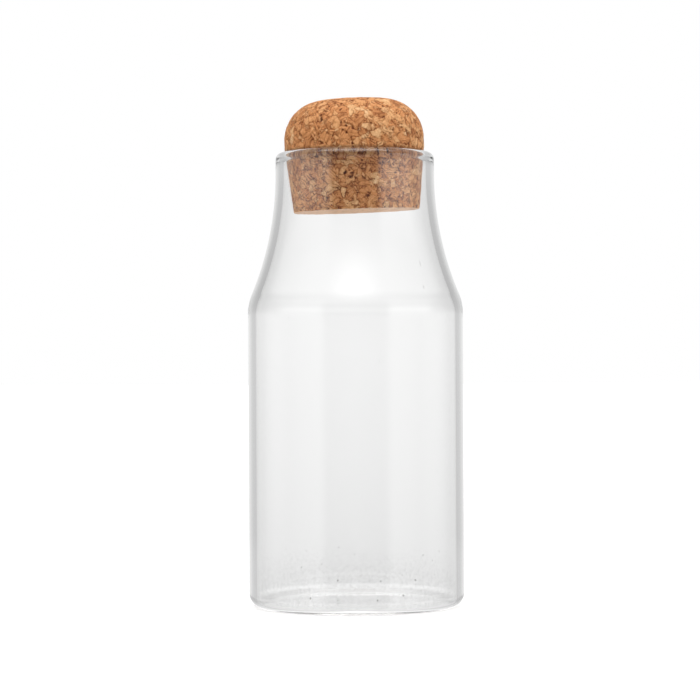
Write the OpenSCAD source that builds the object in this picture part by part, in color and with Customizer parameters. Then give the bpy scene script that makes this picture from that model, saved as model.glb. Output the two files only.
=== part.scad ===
// Blown glass storage jar with a push-in cork stopper.
//
// The jar is one piece of clear glass: a straight body, a soft shoulder that
// flares up into a narrower neck, and a fire-polished rim. The stopper is one
// piece of granulated cork: a tapered plug that wedges in the mouth, and a
// domed head that the fingers grip. Both are turned shapes about the Z axis.
// The jar stands on Z = 0, and its axis is the Z axis.

/* [Jar body] */
// Outer diameter of the straight body
body_d = 80; // [74:0.5:92]
// Thickness of the body's wall
body_wall = 2.8; // [2:0.1:4]
// Height of the glass, from the foot to the top of the rim
jar_h = 168.8; // [140:0.2:220]

/* [Shoulder and neck] */
// Outer diameter of the neck
neck_d = 59; // [50:0.5:66]
// Thickness of the neck's wall
neck_wall = 3; // [2.4:0.1:4.5]
// Height of the straight neck, from the end of the flare to the top of the rim
neck_h = 7.4; // [6:0.2:30]
// Radius of the rounded shoulder, where the body turns inwards
shoulder_round = 18; // [8:0.5:30]
// Radius of the long hollow flare from the shoulder to the neck
flare_round = 117; // [60:1:160]

/* [Rim] */
// How far the fire-polished bead stands in from the neck's bore
rim_bead = 0.5; // [0.2:0.05:1.2]
// Depth below the rim of the land inside the bead, which the plug wedges in
rim_land = 1.9; // [1.2:0.1:3.4]
// Height in which the bead's underside runs out into the bore
rim_bead_run = 2.4; // [1.6:0.1:4]
// Radius of the rim's outer edge
rim_round = 2.6; // [1.2:0.1:2.8]

/* [Base] */
// Thickness of the glass where the floor meets the wall
base_t = 1.9; // [1.6:0.1:6]
// Radius of the outer corner round the foot
base_round = 5; // [3:0.25:7]
// Width of the flat ring that the jar stands on
foot_w = 1.5; // [1:0.25:8]
// Height of the hollow pushed up into the underside
push_up = 0.4; // [0.3:0.1:1]
// Radius of the inside corner between wall and floor
floor_round = 2.5; // [1:0.1:4]
// How far the floor's middle stands above its edge
floor_rise = 0.4; // [0.3:0.1:2]

/* [Stopper plug] */
// Clearance between the plug and the mouth, on the radius
seat_clearance = 0.25; // [0.15:0.05:0.6]
// Length of the plug, from the bevel under the head to the flat end
plug_len = 22.4; // [12:0.2:36]
// Taper of the plug, in degrees on each side
plug_taper = 6; // [3:0.1:8]
// Radius of the edge round the plug's end
plug_round = 0.3; // [0.2:0.1:3]

/* [Stopper head] */
// Height of the head, from the bevel to the top of its crown
head_h = 19.9; // [18:0.1:30]
// How far the head's radius exceeds the mouth's
head_over = 0.05; // [0.05:0.05:3]
// Height of the bevel between plug and head
bevel_h = 1; // [0.5:0.1:2]
// Radius of the head's big upper corner
head_round = 14.7; // [6:0.1:15.5]
// Radius of the nearly flat crown
crown_round = 116; // [60:1:200]

/* [Stopper seat] */
// Gap between the rim and the level where the bevel starts
rim_gap = 0.4; // [0.3:0.1:2]
// Lean of the stopper as it was pushed in, in degrees
stopper_tilt = 2.1; // [0:0.1:2.5]
// Direction of the lean, in degrees from +X about the jar's axis
lean_dir = 205; // [0:1:359]

/* [Hidden] */

$fn = 144;
// Largest distance between a round outline and its chords
chord_error = 0.01;
// Number of steps in the curve of the bead's underside
bead_steps = 10;
// Least radius left for the rim's inner edge
rim_edge_min = 0.8;

glass_colour = [0.84, 0.88, 0.89, 0.4];
cork_colour = [0.76, 0.56, 0.37];

// Radii of the jar, outside and inside
body_r = body_d / 2;
neck_r = neck_d / 2;
body_bore_r = body_r - body_wall;
neck_bore_r = neck_r - neck_wall;
mouth_r = neck_bore_r - rim_bead;

// The rim is fully round: two arcs meet at its top
rim_t = neck_r - mouth_r;
rim_outer_round = min(rim_round, rim_t - rim_edge_min);
rim_inner_round = rim_t - rim_outer_round;

// The underside's hollow ends at the inner edge of the foot ring
foot_r = body_r - base_round;
hollow_r = foot_r - foot_w;
floor_r = body_bore_r - floor_round;

// The flare ends, and the straight neck starts, at this level
neck_z = jar_h - neck_h;

// The mouth is narrowest from here down to the land's end, and the plug wedges
// at the top of this stretch
seat_z = jar_h - rim_inner_round;
seat_r = mouth_r - seat_clearance;

// The land starts below the rim's inner edge, and the bead ends in the straight neck
land_z = min(jar_h - rim_land, seat_z);
bead_run = min(rim_bead_run, land_z - neck_z);

// Levels and radii of the stopper, before it leans
bevel_z = jar_h + rim_gap;
bevel_r = seat_r + (bevel_z - seat_z) * tan(plug_taper);
plug_end_z = bevel_z - plug_len;
plug_end_r = seat_r - (seat_z - plug_end_z) * tan(plug_taper);
head_r = mouth_r + head_over;
head_top_z = bevel_z + head_h;

// Points along an arc about [x, z], from angle a to angle b
function arc(x, z, r, a, b) =
    let (step = 2 * acos(1 - chord_error / r))
    let (n = max(2, ceil(abs(b - a) / step)))
    [for (i = [0 : n]) let (t = a + (b - a) * i / n) [x + r * cos(t), z + r * sin(t)]];

// Points of a shallow dome on the axis, from the middle out to radius r.
// It is z_edge high at r, and stands rise above that in the middle.
function dome(r, z_edge, rise) =
    let (ball = (r * r + rise * rise) / (2 * rise))
    arc(0, z_edge + rise - ball, ball, 90, 90 - asin(r / ball));

// The same list of points the other way round
function reversed(points) = [for (i = [len(points) - 1 : -1 : 0]) points[i]];

// Shoulder and flare between a body radius and a neck radius, going up.
// A bulging arc and a hollow arc touch where both slope alike.
function shoulder(r_body, r_neck, round_body, round_neck) =
    let (slope = acos(1 - (r_body - r_neck) / (round_body + round_neck)))
    let (shoulder_z = neck_z - (round_body + round_neck) * sin(slope))
    concat(
        arc(r_body - round_body, shoulder_z, round_body, 0, slope),
        arc(r_neck + round_neck, neck_z, round_neck, 180 + slope, 180)
    );

// Underside of the rim's bead, going down: it runs out from the land into the bore
function bead() =
    [for (i = [0 : bead_steps])
        let (t = i / bead_steps)
        [mouth_r + rim_bead * (1 - cos(180 * t)) / 2, land_z - bead_run * t]];

// Outside of the glass, from the middle of the underside up to the rim
function jar_outside() = concat(
    dome(hollow_r, 0, push_up),
    arc(foot_r, base_round, base_round, -90, 0),
    shoulder(body_r, neck_r, shoulder_round, flare_round),
    arc(neck_r - rim_outer_round, jar_h - rim_outer_round, rim_outer_round, 0, 90)
);

// Inside of the glass, from the rim down to the middle of the floor
function jar_inside() = concat(
    arc(mouth_r + rim_inner_round, seat_z, rim_inner_round, 90, 180),
    bead(),
    reversed(shoulder(body_bore_r, neck_bore_r,
        shoulder_round - body_wall, flare_round + neck_wall)),
    arc(floor_r, base_t + floor_round, floor_round, 0, -90),
    reversed(dome(floor_r, base_t, floor_rise))
);

// Side of the stopper, from the middle of its flat end up to its crown
function stopper_outline() =
    let (edge_r = plug_end_r + plug_round * (tan(plug_taper) - 1 / cos(plug_taper)))
    let (corner_r = head_r - head_round)
    let (crown_a = asin(corner_r / (crown_round - head_round)))
    let (crown_z = head_top_z - crown_round)
    let (corner_z = crown_z + (crown_round - head_round) * cos(crown_a))
    concat(
        [[0, plug_end_z]],
        arc(edge_r, plug_end_z + plug_round, plug_round, -90, -plug_taper),
        [[bevel_r, bevel_z], [head_r, bevel_z + bevel_h]],
        arc(corner_r, corner_z, head_round, 0, 90 - crown_a),
        arc(0, crown_z, crown_round, 90 - crown_a, 90)
    );

// Places what stands on the jar's axis as the stopper sits: it leans about
// the middle of the mouth
module as_seated() {
    translate([0, 0, seat_z])
        rotate([0, 0, lean_dir])
            rotate([0, stopper_tilt, 0])
                rotate([0, 0, -lean_dir])
                    translate([0, 0, -seat_z])
                        children();
}

// Jar of clear blown glass, open at the top
module glass_jar() {
    color(glass_colour)
        rotate_extrude()
            polygon(concat(jar_outside(), jar_inside()));
}

// Stopper of granulated cork, turned from one block
module cork_stopper() {
    color(cork_colour)
        as_seated()
            rotate_extrude()
                polygon(stopper_outline());
}

glass_jar();
cork_stopper();
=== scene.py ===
import math

import bpy
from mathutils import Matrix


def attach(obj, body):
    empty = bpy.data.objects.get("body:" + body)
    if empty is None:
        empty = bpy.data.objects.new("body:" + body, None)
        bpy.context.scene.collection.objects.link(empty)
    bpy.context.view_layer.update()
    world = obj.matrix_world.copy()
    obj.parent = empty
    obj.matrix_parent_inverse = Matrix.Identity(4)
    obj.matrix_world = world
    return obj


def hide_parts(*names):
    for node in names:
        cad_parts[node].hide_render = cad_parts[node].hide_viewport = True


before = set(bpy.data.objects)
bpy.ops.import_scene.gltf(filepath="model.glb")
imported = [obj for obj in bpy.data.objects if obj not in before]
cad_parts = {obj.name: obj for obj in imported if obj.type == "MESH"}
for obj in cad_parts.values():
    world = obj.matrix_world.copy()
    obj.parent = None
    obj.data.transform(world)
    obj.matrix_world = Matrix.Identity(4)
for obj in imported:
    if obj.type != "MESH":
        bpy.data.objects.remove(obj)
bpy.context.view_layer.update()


# Glass jar: one piece of clear borosilicate glass, drawn and blown from a tube to a straight
# body, a soft shoulder, a hollow flare and a neck. The rim is fire-polished, and the jar stands
# on the narrow ring round its pushed-up underside.

MM = 0.001
BODY_R = 40.0 * MM
BODY_WALL = 2.8 * MM
JAR_H = 168.8 * MM
NECK_R = 29.5 * MM
NECK_WALL = 3.0 * MM
NECK_H = 7.4 * MM
SHOULDER_ROUND = 18.0 * MM
FLARE_ROUND = 117.0 * MM
RIM_BEAD = 0.5 * MM
RIM_LAND = 1.9 * MM
RIM_BEAD_RUN = 2.4 * MM
RIM_ROUND = 2.6 * MM
BASE_T = 1.9 * MM
BASE_ROUND = 5.0 * MM
FOOT_W = 1.5 * MM
PUSH_UP = 0.4 * MM
FLOOR_ROUND = 2.5 * MM
FLOOR_RISE = 0.4 * MM

MOUTH_R = NECK_R - NECK_WALL - RIM_BEAD
RIM_INNER_ROUND = NECK_R - MOUTH_R - RIM_ROUND
NECK_Z = JAR_H - NECK_H
SEAT_Z = JAR_H - RIM_INNER_ROUND

# Distances between the outline's points, from nearly flat glass to the lip's tight edge
FLAT_PITCH = 1.5 * MM
WALL_PITCH = 1.6 * MM
SHOULDER_PITCH = 0.9 * MM
FOOT_PITCH = 0.35 * MM
EDGE_PITCH = 0.25 * MM
LIP_PITCH = 0.2 * MM
LONGEST_STEP = 2.5 * MM
SAME_POINT = 0.002 * MM
WELD = 0.001 * MM
ARC_STEPS_LEAST = 3
BEAD_STEPS = 16
JAR_SEGMENTS = 256

GLASS_TINT = (0.994, 0.995, 0.994, 1)
GLASS_IOR = 1.474
# A thin film of dust on the floor inside, which fades out up the wall between two heights in mm
DUST_TINT = (0.20, 0.19, 0.18, 1)
DUST_HEIGHTS = (5.0, 24.0)
FILM_LUMPS_PER_MM = 0.8
FILM_SPAN = (0.45, 0.75)
FILM_MOST = 0.25
# Dark specks, at most one to a cell. Their reach is a share of a cell, and higher up more of
# the cells stay clean
SPECK_PITCH_MM = 9.0
SPECK_REACH = 0.055
SPECK_HARDNESS = 40.0
SPECK_FADED = 0.4
CLEAN_HEIGHTS = (15.0, 40.0)
CLEAN_SHARES = (0.3, 0.92)
FLOOR_MARGIN = 0.2 * MM


def arc(x, z, r, start, end, pitch):
    """Points about pitch apart along an arc about (x, z), from angle start to end in degrees."""
    steps = max(ARC_STEPS_LEAST, math.ceil(abs(math.radians(end - start)) * r / pitch))
    angles = [math.radians(start + (end - start) * i / steps) for i in range(steps + 1)]
    return [(x + r * math.cos(a), z + r * math.sin(a)) for a in angles]


def straight(a, b, pitch):
    """Points between a and b, both left out, about pitch apart."""
    steps = max(1, round(math.dist(a, b) / pitch))
    return [tuple(p + (q - p) * i / steps for p, q in zip(a, b)) for i in range(1, steps)]


def dome(r, z_edge, rise, pitch):
    """A shallow dome from the axis out to radius r, rise higher in the middle than at r."""
    ball = (r * r + rise * rise) / (2 * rise)
    edge = 90 - math.degrees(math.asin(r / ball))
    return arc(0, z_edge + rise - ball, ball, 90, edge, pitch)


def shoulder(r_body, r_neck, round_body, round_neck, pitch):
    """The bulging shoulder and the hollow flare, which touch where both slope alike."""
    slope = math.acos(1 - (r_body - r_neck) / (round_body + round_neck))
    z = NECK_Z - (round_body + round_neck) * math.sin(slope)
    slope = math.degrees(slope)
    return (arc(r_body - round_body, z, round_body, 0, slope, pitch)
            + arc(r_neck + round_neck, NECK_Z, round_neck, 180 + slope, 180, pitch))


def bead(steps):
    """The underside of the rim's bead, going down: it runs out from the mouth into the bore."""
    return [(MOUTH_R + RIM_BEAD * (1 - math.cos(math.pi * i / steps)) / 2,
             JAR_H - RIM_LAND - RIM_BEAD_RUN * i / steps) for i in range(steps + 1)]


def joined(*runs):
    """The runs of points one after another, with long steps filled and doubles left out."""
    points = []
    for run in runs:
        for p in run:
            if points and math.dist(points[-1], p) > LONGEST_STEP:
                points += straight(points[-1], p, WALL_PITCH)
            if not points or math.dist(points[-1], p) > SAME_POINT:
                points.append(p)
    return points


def jar_outline():
    """The glass from the middle of its underside up the outside, over the rim and down inside."""
    body_bore = BODY_R - BODY_WALL
    neck_bore = NECK_R - NECK_WALL
    foot_r = BODY_R - BASE_ROUND
    floor_r = body_bore - FLOOR_ROUND
    inner_shoulder = shoulder(body_bore, neck_bore, SHOULDER_ROUND - BODY_WALL,
                              FLARE_ROUND + NECK_WALL, SHOULDER_PITCH)
    floor = dome(floor_r, BASE_T, FLOOR_RISE, FLAT_PITCH)
    return joined(
        dome(foot_r - FOOT_W, 0, PUSH_UP, FLAT_PITCH),
        arc(foot_r, BASE_ROUND, BASE_ROUND, -90, 0, FOOT_PITCH),
        shoulder(BODY_R, NECK_R, SHOULDER_ROUND, FLARE_ROUND, SHOULDER_PITCH),
        arc(NECK_R - RIM_ROUND, JAR_H - RIM_ROUND, RIM_ROUND, 0, 90, EDGE_PITCH),
        arc(MOUTH_R + RIM_INNER_ROUND, SEAT_Z, RIM_INNER_ROUND, 90, 180, LIP_PITCH),
        bead(BEAD_STEPS),
        inner_shoulder[::-1],
        arc(floor_r, BASE_T + FLOOR_ROUND, FLOOR_ROUND, 0, -90, EDGE_PITCH),
        floor[::-1])


def put(tree, kind, inputs=None, **settings):
    """Adds a node. inputs gives each socket, by name or number, a value or a node's output."""
    made = tree.nodes.new(kind)
    for name, value in settings.items():
        setattr(made, name, value)
    for name, value in (inputs or {}).items():
        if isinstance(value, bpy.types.NodeSocket):
            tree.links.new(value, made.inputs[name])
        else:
            made.inputs[name].default_value = value
    return made


def calc(tree, operation, *values, clamp=False):
    """The output of a Math node."""
    inputs = dict(enumerate(values))
    return put(tree, "ShaderNodeMath", inputs, operation=operation, use_clamp=clamp).outputs[0]


def calc_vector(tree, operation, *values, scale=None):
    """The output of a Vector Math node."""
    inputs = dict(enumerate(values))
    if scale is not None:
        inputs["Scale"] = scale
    made = put(tree, "ShaderNodeVectorMath", inputs, operation=operation)
    return made.outputs["Value" if operation in ("LENGTH", "DOT_PRODUCT") else "Vector"]


def split(tree, vector):
    """The three parts of a vector or a colour."""
    return put(tree, "ShaderNodeSeparateXYZ", {0: vector}).outputs


def fade(tree, value, span, levels, shape="LINEAR"):
    """Goes from the first of levels to the second while value goes through span."""
    inputs = dict(enumerate((value, *span, *levels)))
    return put(tree, "ShaderNodeMapRange", inputs, interpolation_type=shape).outputs[0]


def noise(tree, where, scale, detail, roughness=0.5):
    """Soft noise, with scale in lumps to a unit of where: a number, and a colour."""
    inputs = {"Vector": where, "Scale": scale, "Detail": detail, "Roughness": roughness}
    return put(tree, "ShaderNodeTexNoise", inputs).outputs


def cells(tree, where, scale, feature="F1", space="3D"):
    """Cells of random shape: the distance and the colour of each."""
    return put(tree, "ShaderNodeTexVoronoi", {"Vector": where, "Scale": scale, "Randomness": 1.0},
               feature=feature, voronoi_dimensions=space).outputs


def blend(tree, share, first, second, mode="MIX"):
    """Two colours laid over one another."""
    made = put(tree, "ShaderNodeMix", {0: share, 6: first, 7: second},
               data_type="RGBA", blend_type=mode)
    return made.outputs[2]


def surface(name):
    """A new material, its tree, its shader, and the place on the piece in mm."""
    finish = bpy.data.materials.new(name)
    finish.use_nodes = True
    tree = finish.node_tree
    place = put(tree, "ShaderNodeTexCoord").outputs["Object"]
    mm = calc_vector(tree, "SCALE", place, scale=1 / MM)
    return finish, tree, tree.nodes["Principled BSDF"], mm


def turning_tree(name, carve=None, sizes=()):
    """A Geometry Nodes tree that turns an outline, drawn in X and Z, about the Z axis.

    carve(tree, form, given) may work on the turned form. sizes names its own number inputs.
    """
    tree = bpy.data.node_groups.new(name, "GeometryNodeTree")
    labels = [("Outline", "Geometry"), ("Segments", "Int"), ("Finish", "Material")]
    ids = {}
    for label, kind in labels + [(size, "Float") for size in sizes]:
        made = tree.interface.new_socket(label, in_out="INPUT", socket_type="NodeSocket" + kind)
        ids[label] = made.identifier
    tree.interface.new_socket("Piece", in_out="OUTPUT", socket_type="NodeSocketGeometry")
    given = put(tree, "NodeGroupInput").outputs

    count = put(tree, "GeometryNodeAttributeDomainSize",
                {"Geometry": given["Outline"]}).outputs["Point Count"]
    columns = calc(tree, "ADD", given["Segments"], 1.0)
    form = put(tree, "GeometryNodeMeshGrid",
               {"Vertices X": columns, "Vertices Y": count}).outputs["Mesh"]
    index = put(tree, "GeometryNodeInputIndex").outputs[0]
    along = calc(tree, "MODULO", index, count)
    around = calc(tree, "FLOOR", calc(tree, "DIVIDE", calc(tree, "ADD", index, 0.5), count))
    angle = calc(tree, "DIVIDE", calc(tree, "MULTIPLY", around, 2 * math.pi), given["Segments"])
    drawn = put(tree, "GeometryNodeInputPosition").outputs[0]
    point = put(tree, "GeometryNodeSampleIndex", data_type="FLOAT_VECTOR", domain="POINT")
    tree.links.new(given["Outline"], point.inputs["Geometry"])
    tree.links.new(drawn, point.inputs["Value"])
    tree.links.new(along, point.inputs["Index"])
    turned = put(tree, "ShaderNodeVectorRotate", {"Vector": point.outputs[0], "Angle": angle},
                 rotation_type="Z_AXIS").outputs[0]
    form = put(tree, "GeometryNodeSetPosition", {"Geometry": form, "Position": turned}).outputs[0]
    form = put(tree, "GeometryNodeMergeByDistance", {"Geometry": form, "Distance": WELD}).outputs[0]
    if carve:
        form = carve(tree, form, given)
    form = put(tree, "GeometryNodeSetShadeSmooth", {"Geometry": form}).outputs[0]
    form = put(tree, "GeometryNodeRealizeInstances", {"Geometry": form}).outputs[0]
    form = put(tree, "GeometryNodeSetMaterial",
               {"Geometry": form, "Material": given["Finish"]}).outputs[0]
    put(tree, "NodeGroupOutput", {0: form})
    return tree, ids


def turn(name, outline, tree, ids, **values):
    """Turns the outline into a closed mesh piece with the tree, and applies the tree to it."""
    drawing = bpy.data.meshes.new(name + "_outline")
    drawing.from_pydata([(x, 0, z) for x, z in outline],
                        [(i, i + 1) for i in range(len(outline) - 1)], [])
    piece = bpy.data.objects.new(name, drawing)
    bpy.context.scene.collection.objects.link(piece)
    modifier = piece.modifiers.new("turning", "NODES")
    modifier.node_group = tree
    for label, value in values.items():
        modifier[ids[label]] = value
    done = piece.evaluated_get(bpy.context.evaluated_depsgraph_get())
    mesh = bpy.data.meshes.new_from_object(done)
    piece.modifiers.clear()
    piece.data = mesh
    bpy.data.meshes.remove(drawing)
    mesh.materials.clear()
    mesh.materials.append(values["Finish"])
    mesh.polygons.foreach_set("material_index", [0] * len(mesh.polygons))
    return piece


def dust(tree, mm):
    """How dirty the glass is: a film low down inside, and specks that thin out upwards."""
    east, north, up = split(tree, mm)
    angle = calc(tree, "ARCTAN2", east, calc(tree, "MULTIPLY", north, -1.0))
    around = calc(tree, "MULTIPLY", angle, BODY_R / MM)
    wall = put(tree, "ShaderNodeCombineXYZ", {0: around, 1: up}).outputs[0]
    radius = calc_vector(tree, "LENGTH", calc_vector(tree, "MULTIPLY", mm, (1.0, 1.0, 0.0)))
    on_floor = calc(tree, "LESS_THAN", radius, (BODY_R - BODY_WALL - FLOOR_ROUND) / MM)
    spread = put(tree, "ShaderNodeMix", {0: on_floor, 4: wall, 5: mm}, data_type="VECTOR").outputs[1]

    lumps = noise(tree, mm, FILM_LUMPS_PER_MM, detail=3.0, roughness=0.7)[0]
    film = fade(tree, lumps, FILM_SPAN, (0.0, FILM_MOST))
    film = calc(tree, "MULTIPLY", film, fade(tree, up, DUST_HEIGHTS, (1.0, 0.0)))

    cell = cells(tree, spread, 1 / SPECK_PITCH_MM, space="2D")
    chance = split(tree, cell["Color"])[0]
    clean = fade(tree, up, CLEAN_HEIGHTS, CLEAN_SHARES)
    reach = fade(tree, chance, (clean, 1.0), (0.0, SPECK_REACH))
    speck = calc(tree, "SUBTRACT", reach, cell["Distance"])
    speck = calc(tree, "MULTIPLY", speck, SPECK_HARDNESS, clamp=True)
    speck = calc(tree, "MULTIPLY", speck, fade(tree, up, DUST_HEIGHTS, (1.0, SPECK_FADED)))

    inside = calc(tree, "LESS_THAN", radius, (BODY_R - BODY_WALL / 2) / MM)
    above = calc(tree, "GREATER_THAN", up, (BASE_T - FLOOR_MARGIN) / MM)
    return calc(tree, "MULTIPLY", calc(tree, "ADD", film, speck), calc(tree, "MULTIPLY", inside, above))


def blown_glass():
    """Clear borosilicate glass, colourless and smooth, with a little dust inside."""
    finish, tree, shader, mm = surface("blown_glass")
    tree.links.new(blend(tree, dust(tree, mm), GLASS_TINT, DUST_TINT), shader.inputs["Base Color"])
    shader.inputs["Roughness"].default_value = 0.0
    shader.inputs["IOR"].default_value = GLASS_IOR
    shader.inputs["Transmission Weight"].default_value = 1.0
    return finish


glass_tree, glass_ids = turning_tree("turned_glass")
jar = turn("blown_glass_jar", jar_outline(), glass_tree, glass_ids,
           Segments=JAR_SEGMENTS, Finish=blown_glass())
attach(jar, "jar")
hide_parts("glass_jar")


# Cork stopper: one block of granulated cork, pressed and bonded, then turned to a tapered plug
# with a domed head. It was pushed into the mouth a little crooked, so it leans.

SEAT_CLEARANCE = 0.25 * MM
PLUG_LEN = 22.4 * MM
PLUG_TAPER = math.radians(6.0)
PLUG_ROUND = 0.3 * MM
HEAD_H = 19.9 * MM
HEAD_OVER = 0.05 * MM
BEVEL_H = 1.0 * MM
HEAD_ROUND = 14.7 * MM
CROWN_ROUND = 116.0 * MM
RIM_GAP = 0.4 * MM
STOPPER_TILT = math.radians(2.1)
LEAN_DIRECTION = math.radians(205)

CORK_PITCH = 0.36 * MM
CORK_END_PITCH = 0.7 * MM
CORK_EDGE_PITCH = 0.2 * MM
CORK_SEGMENTS = 430

# Each set of chips: their three sizes in mm, their turn, and the share of them that shows
CHIPS = (
    ((1.3, 1.3, 1.3), (0.0, 0.0, 0.0), 1.0),
    ((3.2, 2.0, 2.4), (0.5, 1.1, 0.3), 0.55),
    ((2.2, 5.2, 2.8), (1.2, 0.2, 0.9), 0.42),
    ((6.0, 2.8, 3.2), (0.3, 0.7, 2.1), 0.34),
)
CHIP_SHIFT = (7.3, 3.1, 11.9)
# What pushes the chips out of shape: waves to a mm, and how far they push in mm
SWIRLS_PER_MM = 0.22
SWIRL = 3.6
RIPPLES_PER_MM = 0.8
CHIP_RIPPLE = 1.25
STREAK_RIPPLE = 0.5
STREAKS_PER_MM = 2.0
STREAK_DRIFT = 0.22
STREAK_SEED = (37.0, 61.0, 17.0)
PITS_PER_MM = 0.55
PITS_LEFT_OUT = 0.55
PIT_REACH = 0.34
PIT_HARDNESS = 6.0
# How deep the grain is cut, and the share of it that each kind of mark takes
GRAIN_DEPTH = 0.32 * MM
CRACK_SPAN_MM = (0.0, 0.3)
CRACK_SHARE = 0.45
CHIP_SHARE = 0.3
PIT_SHARE = 1.1

CHIP_COLOURS = ((0.0, (0.56, 0.230, 0.080)), (0.15, (0.68, 0.290, 0.105)),
                (0.5, (0.74, 0.340, 0.132)), (0.85, (0.81, 0.435, 0.192)),
                (1.0, (0.85, 0.510, 0.255)))
STREAK_SHADES = ((0.32, 0.42), (0.42, 0.80), (0.48, 1.0), (0.58, 1.06), (0.70, 1.24))
# Specks are fine and patches broad. Each span of them goes with the shades at its two ends
SPECKS_PER_MM = 2.6
PATCHES_PER_MM = 0.5
SPECK_SPAN, SPECK_SHADES = (0.3, 0.7), (0.66, 1.30)
JOINT_SPAN, JOINT_SHADES = (0.35, 0.62), (0.92, 0.34)
JOINT_SPAN_MM = (0.02, 0.24)
PIT_SHADE = 0.16
GRIT_SPAN = (0.50, 0.60)
GRITTY_SPAN, GRITTY_MOST = (0.46, 0.60), 0.72
# The colour that a shade from 0 to SHADE_MOST gives a chip: dark marks are redder than the cork
SHADE_MOST = 1.5
SHADE_TINTS = ((0.0, (0.06, 0.03, 0.02)), (0.2, (0.36, 0.22, 0.14)), (0.45, (0.74, 0.64, 0.56)),
               (0.66, (1.03, 1.02, 1.0)), (1.0, (1.18, 1.50, 1.80)))
# The plug's grain has more contrast below the head. The plug is darkened with painted shade, and is
# darkest in a ring of painted shade at the rim. Heights are in mm above the foot
CONTRAST_HEIGHTS, CONTRASTS = (166.0, 169.5), (1.25, 1.0)
PLUG_SHADE_HEIGHTS, PLUG_SHADE_LEVELS = (165.6, 167.0), (0.90, 0.60)
RIM_SHADE_HEIGHTS = (169.1, 170.0)
# The flat end is painted paler as a painted sheen, by how far a face looks down
END_SHEEN_COLOUR = (0.86, 0.66, 0.50, 1)
END_SHEEN_FACING, END_SHEEN_SHARE = (-0.75, -0.95), 0.5
CORK_ROUGHNESS = (0.66, 0.9)
CORK_SHEEN = 0.35
BUMP_SHARES = {"streak": 0.35, "speck": 0.3, "crack": 0.9}
BUMP_DEPTH = 0.16 * MM
BUMP_STRENGTH = 0.9


def stopper_outline():
    """The stopper's side from the middle of its flat end up to its crown, before it leans."""
    seat_r = MOUTH_R - SEAT_CLEARANCE
    bevel_z = JAR_H + RIM_GAP
    bevel_r = seat_r + (bevel_z - SEAT_Z) * math.tan(PLUG_TAPER)
    end_z = bevel_z - PLUG_LEN
    end_r = seat_r - (SEAT_Z - end_z) * math.tan(PLUG_TAPER)
    edge_r = end_r + PLUG_ROUND * (math.tan(PLUG_TAPER) - 1 / math.cos(PLUG_TAPER))
    head_r = MOUTH_R + HEAD_OVER
    corner_r = head_r - HEAD_ROUND
    crown_a = math.asin(corner_r / (CROWN_ROUND - HEAD_ROUND))
    crown_z = bevel_z + HEAD_H - CROWN_ROUND
    corner_z = crown_z + (CROWN_ROUND - HEAD_ROUND) * math.cos(crown_a)
    crown_edge = 90 - math.degrees(crown_a)

    middle = (0, end_z)
    edge = arc(edge_r, end_z + PLUG_ROUND, PLUG_ROUND, -90, -math.degrees(PLUG_TAPER),
               CORK_EDGE_PITCH)
    corner = arc(corner_r, corner_z, HEAD_ROUND, 0, crown_edge, CORK_PITCH)
    crown = arc(0, crown_z, CROWN_ROUND, crown_edge, 90, CORK_PITCH)
    points = [middle] + straight(middle, edge[0], CORK_END_PITCH) + edge
    for target in ((bevel_r, bevel_z), (head_r, bevel_z + BEVEL_H), corner[0]):
        points += straight(points[-1], target, CORK_PITCH) + [target]
    return points + corner[1:] + crown[1:]


def grey(level):
    """A level as a colour without any hue."""
    return (level, level, level)


def granules(tree, mm):
    """The grain of pressed cork at a place in mm: each chip's tone, its edge, its streaks, the pits.

    The sets of chips lie over one another, each stretched its own way, so that long chips
    show among small ones.
    """
    swirl = noise(tree, mm, SWIRLS_PER_MM, detail=1.0)["Color"]
    ripple = noise(tree, mm, RIPPLES_PER_MM, detail=3.0, roughness=0.6)["Color"]
    flow = calc_vector(tree, "ADD", mm, calc_vector(tree, "SCALE", swirl, scale=SWIRL))
    bent = calc_vector(tree, "ADD", flow, calc_vector(tree, "SCALE", ripple, scale=CHIP_RIPPLE))
    tone = edge = None
    for number, (size, turned, share) in enumerate(CHIPS):
        aim = put(tree, "ShaderNodeVectorRotate", {"Vector": bent, "Rotation": turned},
                  rotation_type="EULER_XYZ").outputs[0]
        moved = calc_vector(tree, "ADD", calc_vector(tree, "DIVIDE", aim, size),
                            tuple(shift * number for shift in CHIP_SHIFT))
        chip = cells(tree, moved, 1.0)["Color"]
        rim = cells(tree, moved, 1.0, "DISTANCE_TO_EDGE")["Distance"]
        rim = calc(tree, "MULTIPLY", rim, min(size))
        if tone is None:
            tone, edge = chip, rim
            continue
        shown = calc(tree, "LESS_THAN", split(tree, chip)[2], share)
        tone = blend(tree, shown, tone, chip)
        edge = put(tree, "ShaderNodeMix", {0: shown, 2: edge, 3: rim}, data_type="FLOAT").outputs[0]

    # Growth streaks run across each chip its own way
    aim = calc_vector(tree, "NORMALIZE", calc_vector(tree, "SUBTRACT", tone, grey(0.5)))
    wavy = calc_vector(tree, "ADD", flow, calc_vector(tree, "SCALE", ripple, scale=STREAK_RIPPLE))
    across = calc(tree, "MULTIPLY", calc_vector(tree, "DOT_PRODUCT", wavy, aim), STREAKS_PER_MM)
    seed = calc_vector(tree, "DOT_PRODUCT", tone, STREAK_SEED)
    line = put(tree, "ShaderNodeCombineXYZ", {0: across, 1: seed, 2: 0.0}).outputs[0]
    line = calc_vector(tree, "ADD", line, calc_vector(tree, "SCALE", mm, scale=STREAK_DRIFT))
    streak = noise(tree, line, 1.0, detail=2.0, roughness=0.6)[0]

    hole = cells(tree, bent, PITS_PER_MM)
    real = calc(tree, "GREATER_THAN", split(tree, hole["Color"])[0], PITS_LEFT_OUT)
    depth = calc(tree, "SUBTRACT", calc(tree, "MULTIPLY", real, PIT_REACH), hole["Distance"])
    pit = calc(tree, "MULTIPLY", depth, PIT_HARDNESS, clamp=True)
    return tone, edge, streak, pit


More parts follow.
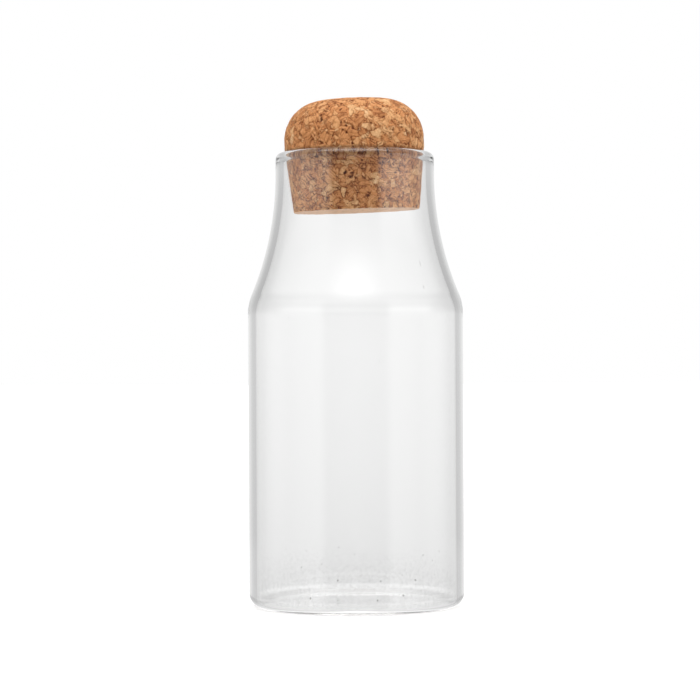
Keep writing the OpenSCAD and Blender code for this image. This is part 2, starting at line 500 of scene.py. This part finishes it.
def seat_and_carve(tree, form, given):
    """Leans the turned stopper about the middle of the mouth and sinks its grain into it."""
    place = put(tree, "GeometryNodeInputPosition").outputs[0]
    axis = (-math.sin(LEAN_DIRECTION), math.cos(LEAN_DIRECTION), 0)
    leaned = put(tree, "ShaderNodeVectorRotate",
                 {"Vector": place, "Center": (0, 0, SEAT_Z), "Axis": axis, "Angle": given["Lean"]},
                 rotation_type="AXIS_ANGLE").outputs[0]
    form = put(tree, "GeometryNodeSetPosition", {"Geometry": form, "Position": leaned}).outputs[0]
    place = put(tree, "GeometryNodeInputPosition").outputs[0]
    tone, edge, streak, pit = granules(tree, calc_vector(tree, "SCALE", place, scale=1 / MM))
    crack = fade(tree, edge, CRACK_SPAN_MM, (1.0, 0.0), "SMOOTHSTEP")
    chip = split(tree, tone)[0]
    sunk = calc(tree, "ADD", calc(tree, "MULTIPLY", crack, CRACK_SHARE),
                calc(tree, "MULTIPLY", chip, CHIP_SHARE))
    sunk = calc(tree, "ADD", sunk, calc(tree, "MULTIPLY", pit, PIT_SHARE))
    inwards = calc(tree, "MULTIPLY", sunk, calc(tree, "MULTIPLY", given["Depth"], -1.0))
    normal = put(tree, "GeometryNodeInputNormal").outputs[0]
    offset = calc_vector(tree, "SCALE", normal, scale=inwards)
    return put(tree, "GeometryNodeSetPosition", {"Geometry": form, "Offset": offset}).outputs[0]


def ramp(tree, value, stops):
    """The colour at value, between stops of a place and a colour or a level of grey."""
    made = put(tree, "ShaderNodeValToRGB", {0: value})
    band = made.color_ramp
    while len(band.elements) < len(stops):
        band.elements.new(0.5)
    for element, (where, colour) in zip(band.elements, stops):
        element.position = where
        element.color = (*(colour if isinstance(colour, tuple) else grey(colour)), 1)
    return made.outputs[0]


def pressed_cork():
    """Granulated cork: chips of many tones with growth streaks, dark joints, grit and pits, with
    painted shade on the plug and a painted sheen on its end.
    """
    finish, tree, shader, mm = surface("pressed_cork")
    tone, edge, streak, pit = granules(tree, mm)
    colour = ramp(tree, split(tree, tone)[1], CHIP_COLOURS)
    speck = noise(tree, mm, SPECKS_PER_MM, detail=4.0, roughness=0.75)[0]
    patch = noise(tree, mm, PATCHES_PER_MM, detail=2.0)[0]

    shade = ramp(tree, streak, STREAK_SHADES)
    shade = calc(tree, "MULTIPLY", shade, fade(tree, speck, SPECK_SPAN, SPECK_SHADES))
    joint = fade(tree, patch, JOINT_SPAN, JOINT_SHADES)
    crack = fade(tree, edge, JOINT_SPAN_MM, (joint, 1.0), "SMOOTHSTEP")
    shade = calc(tree, "MULTIPLY", shade, crack)
    shade = calc(tree, "MULTIPLY", shade, fade(tree, pit, (0.0, 1.0), (1.0, PIT_SHADE)))
    gritty = fade(tree, patch, GRITTY_SPAN, (0.0, GRITTY_MOST))
    grit = fade(tree, speck, GRIT_SPAN, (0.0, gritty))
    shade = calc(tree, "MULTIPLY", shade, calc(tree, "SUBTRACT", 1.0, grit))

    height = split(tree, mm)[2]
    shade = calc(tree, "POWER", shade, fade(tree, height, CONTRAST_HEIGHTS, CONTRASTS))
    tinted = ramp(tree, calc(tree, "DIVIDE", shade, SHADE_MOST), SHADE_TINTS)
    mixed = blend(tree, 1.0, colour, tinted, "MULTIPLY")
    # Painted shade: the plug is darker than the head, and darker still in a ring at the rim
    painted_plug_shade = fade(tree, height, PLUG_SHADE_HEIGHTS, PLUG_SHADE_LEVELS)
    mixed = calc_vector(tree, "SCALE", mixed, scale=fade(tree, height, RIM_SHADE_HEIGHTS, (painted_plug_shade, 1.0)))

    # Painted sheen: faces that look down are made paler
    faces = split(tree, put(tree, "ShaderNodeNewGeometry").outputs["Normal"])[2]
    mixed = blend(tree, fade(tree, faces, END_SHEEN_FACING, (0.0, END_SHEEN_SHARE)), mixed, END_SHEEN_COLOUR)
    tree.links.new(mixed, shader.inputs["Base Color"])
    tree.links.new(fade(tree, speck, (0.0, 1.0), CORK_ROUGHNESS), shader.inputs["Roughness"])
    bumps = calc(tree, "ADD", calc(tree, "MULTIPLY", streak, BUMP_SHARES["streak"]),
                 calc(tree, "MULTIPLY", speck, BUMP_SHARES["speck"]))
    bumps = calc(tree, "ADD", bumps, calc(tree, "MULTIPLY", crack, BUMP_SHARES["crack"]))
    bump = put(tree, "ShaderNodeBump",
               {"Height": bumps, "Strength": BUMP_STRENGTH, "Distance": BUMP_DEPTH})
    tree.links.new(bump.outputs[0], shader.inputs["Normal"])
    shader.inputs["Specular IOR Level"].default_value = CORK_SHEEN
    return finish


cork_tree, cork_ids = turning_tree("turned_cork", seat_and_carve, ("Depth", "Lean"))
stopper = turn("granulated_cork_stopper", stopper_outline(), cork_tree, cork_ids,
               Segments=CORK_SEGMENTS, Finish=pressed_cork(), Depth=GRAIN_DEPTH, Lean=STOPPER_TILT)
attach(stopper, "stopper")
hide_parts("cork_stopper")


# Floor: a wide plain sweep of pale matt paper. It shows white to the camera and keeps the soft
# shadow. Through the glass the paper below the light tent is seen instead.

FLOOR_HALF = 6.0
FLOOR_ALBEDO = 0.6
FLOOR_GLOW = 0.5

floor_mesh = bpy.data.meshes.new("studio_floor")
floor_mesh.from_pydata([(-FLOOR_HALF, -FLOOR_HALF, 0), (FLOOR_HALF, -FLOOR_HALF, 0),
                        (FLOOR_HALF, FLOOR_HALF, 0), (-FLOOR_HALF, FLOOR_HALF, 0)],
                       [], [(0, 1, 2, 3)])
floor = bpy.data.objects.new("studio_floor", floor_mesh)
bpy.context.scene.collection.objects.link(floor)
floor_finish = bpy.data.materials.new("studio_floor")
floor_finish.use_nodes = True
paper_tree = floor_finish.node_tree
shader = paper_tree.nodes["Principled BSDF"]
shader.inputs["Base Color"].default_value = (*grey(FLOOR_ALBEDO), 1)
shader.inputs["Roughness"].default_value = 1.0
shader.inputs["Specular IOR Level"].default_value = 0.0
shader.inputs["Emission Color"].default_value = (*grey(1.0), 1)
to_camera = put(paper_tree, "ShaderNodeLightPath").outputs["Is Camera Ray"]
glow = calc(paper_tree, "MULTIPLY", to_camera, FLOOR_GLOW)
paper_tree.links.new(glow, shader.inputs["Emission Strength"])
floor_mesh.materials.append(floor_finish)
floor.visible_transmission = False
floor.visible_glossy = False


# Studio light: a light tent with a white backdrop between greyer cloths, bright cloths at both
# sides, and an opening that the camera looks in by. A soft lamp hangs above the opening, bright
# cloth overhead, and white paper lies below, out to a table's edge.

# Brightness of the backdrop by degrees away from its middle, level and as seen through the glass
BACKDROP = ((90, 0.78), (50, 0.73), (40, 0.62), (27, 0.61), (20, 0.72), (15, 0.80),
            (10, 0.88), (4, 0.95), (0, 0.99))
THROUGH_GLASS = ((180, 0.95), (30, 0.88), (15, 0.90), (10, 0.94), (7, 0.965), (4, 1.0), (0, 1.035))
# Brightness by degrees above the horizon
BACKDROP_ABOVE = ((0, 1.0), (0.5, 1.0), (3.5, 0.94), (6, 0.85), (15, 0.78))
BACKDROP_BELOW = ((-90, 1.45), (-12, 1.35), (-6, 1.22), (-5, 1.16), (-4.2, 1.03), (-2, 1.0))
SIDE_CLOTHS = ((-90, 0.96), (-20, 0.96), (-7, 0.62), (-3.5, 0.42), (0.5, 0.36), (3.5, 1.20),
               (5.5, 1.30), (9, 1.2), (12, 1.1), (24, 0.40), (90, 0.40))
# The cloths grow brighter from left to right, by the sideways part of a ray's direction
CLOTHS_SPAN, CLOTHS_GAIN = (-0.4, 0.9), (1.0, 1.3)
# Brightness of the paper by PAPER_STEEP times the sine of the angle down to it
PAPER_STEEP = 5.0
PAPER = ((0.0, 1.0), (0.2, 0.96), (0.30, 0.93), (0.40, 0.89), (0.46, 0.83), (1.0, 0.85))
# Degrees round from the front over which the side cloths give way to the backdrop
BACKDROP_EDGE = (80, 100)
# The opening's edges in degrees, each from where it starts to fade to where the cloth is full
OPENING_WIDE = (31, 43)
OPENING_TOP = (26, 38)
OPENING_BOTTOM = (-5, -10)
OPENING_LEVEL = 0.1
# Each lamp: its angle up, the squeeze of its width, where it ends and where it is full, its level
LAMPS = ((math.radians(50), 0.65, (0.36, 0.03), 1.4),
         (math.radians(76), 0.40, (0.42, 0.22), 3.2))
# A ray's bounces are counted in whole numbers, so fewer than this is none
NONE_YET = 0.5

world = bpy.data.worlds.new("light_tent")
bpy.context.scene.world = world
world.use_nodes = True
tent_tree = world.node_tree
aim = put(tent_tree, "ShaderNodeTexCoord").outputs["Generated"]
x, y, z = split(tent_tree, aim)
around = calc(tent_tree, "ARCTAN2", calc(tent_tree, "ABSOLUTE", x),
              calc(tent_tree, "MULTIPLY", y, -1.0))
height = calc(tent_tree, "ARCSINE", z)


def by_direction(levels):
    """The level at the degrees between where a ray goes and the middle of the backdrop."""
    where = calc(tent_tree, "DIVIDE", around, math.pi)
    return ramp(tent_tree, where, [(1 - away / 180, level) for away, level in levels])


def by_height(levels):
    """The level at a ray's degrees above the horizon."""
    where = calc(tent_tree, "MULTIPLY_ADD", height, 1 / math.pi, 0.5)
    return ramp(tent_tree, where, [((up + 90) / 180, level) for up, level in levels])


def soft(value, edge):
    """A smooth step from 0 to 1 between an edge's two angles in degrees."""
    return fade(tent_tree, value, map(math.radians, edge), (0.0, 1.0), "SMOOTHSTEP")


def soft_lamp(up, squeeze, spread, level):
    """A soft patch of light in front, which fades out between two distances from its middle."""
    offset = calc_vector(tent_tree, "SUBTRACT", aim, (0.0, -math.cos(up), math.sin(up)))
    offset = calc_vector(tent_tree, "MULTIPLY", offset, (squeeze, 1.0, 1.0))
    distance = calc_vector(tent_tree, "LENGTH", offset)
    return fade(tent_tree, distance, spread, (0.0, level), "SMOOTHSTEP")


def times(first, second):
    """Two levels of the tent's light multiplied."""
    return blend(tent_tree, 1.0, first, second, "MULTIPLY")


above = by_height(BACKDROP_ABOVE)
backdrop = times(times(by_direction(BACKDROP), by_height(BACKDROP_BELOW)), above)
cloths = times(by_height(SIDE_CLOTHS), fade(tent_tree, x, CLOTHS_SPAN, CLOTHS_GAIN))
tent = blend(tent_tree, soft(around, BACKDROP_EDGE), cloths, backdrop)

closed = calc(tent_tree, "MAXIMUM", soft(height, OPENING_TOP), soft(height, OPENING_BOTTOM))
closed = calc(tent_tree, "MAXIMUM", soft(around, OPENING_WIDE), closed)
closed = calc(tent_tree, "MULTIPLY_ADD", closed, 1 - OPENING_LEVEL, OPENING_LEVEL)
tent = times(tent, closed)

# Straight through the glass, the studio is as white as its backdrop on every side
path = put(tent_tree, "ShaderNodeLightPath").outputs
straight_on = path["Is Transmission Ray"]
for bounces in ("Glossy Depth", "Diffuse Depth"):
    straight_on = calc(tent_tree, "MULTIPLY", straight_on,
                       calc(tent_tree, "LESS_THAN", path[bounces], NONE_YET))
tent = blend(tent_tree, straight_on, tent, times(by_direction(THROUGH_GLASS), above))

down = calc(tent_tree, "MULTIPLY", z, -PAPER_STEEP)
tent = times(tent, ramp(tent_tree, down, PAPER))
lamps = calc(tent_tree, "ADD", *[soft_lamp(*lamp) for lamp in LAMPS])
tent = blend(tent_tree, 1.0, tent, lamps, "ADD")
tent = blend(tent_tree, path["Is Camera Ray"], tent, (*grey(1.0), 1))
background = tent_tree.nodes["Background"]
tent_tree.links.new(tent, background.inputs["Color"])
background.inputs["Strength"].default_value = 1.0


# Camera: a long lens from about a metre away, level with the middle of the jar. The jar stands
# a hair right of the middle, and the horizon is turned a third of a degree.

CAMERA_AWAY = 0.932
CAMERA_UP = 95.3 * MM
CAMERA_LEFT = 2.1 * MM
CAMERA_LEVEL = math.radians(90)
CAMERA_ROLL = math.radians(0.29)
SENSOR_MM = 36
FOCAL_PIXELS = 2500
PICTURE_PIXELS = 700
# Light meets up to this many faces of glass before it is given up
BOUNCES = 48

camera_data = bpy.data.cameras.new("camera")
camera_data.sensor_width = SENSOR_MM
camera_data.lens = SENSOR_MM * FOCAL_PIXELS / PICTURE_PIXELS
camera = bpy.data.objects.new("camera", camera_data)
camera.location = (-CAMERA_LEFT, -CAMERA_AWAY, CAMERA_UP)
camera.rotation_euler = (CAMERA_LEVEL, CAMERA_ROLL, 0)
bpy.context.scene.collection.objects.link(camera)
bpy.context.scene.camera = camera
bpy.context.scene.view_settings.view_transform = "Standard"
cycles = bpy.context.scene.cycles
cycles.blur_glossy = 0.0
cycles.max_bounces = cycles.transmission_bounces = cycles.glossy_bounces = BOUNCES
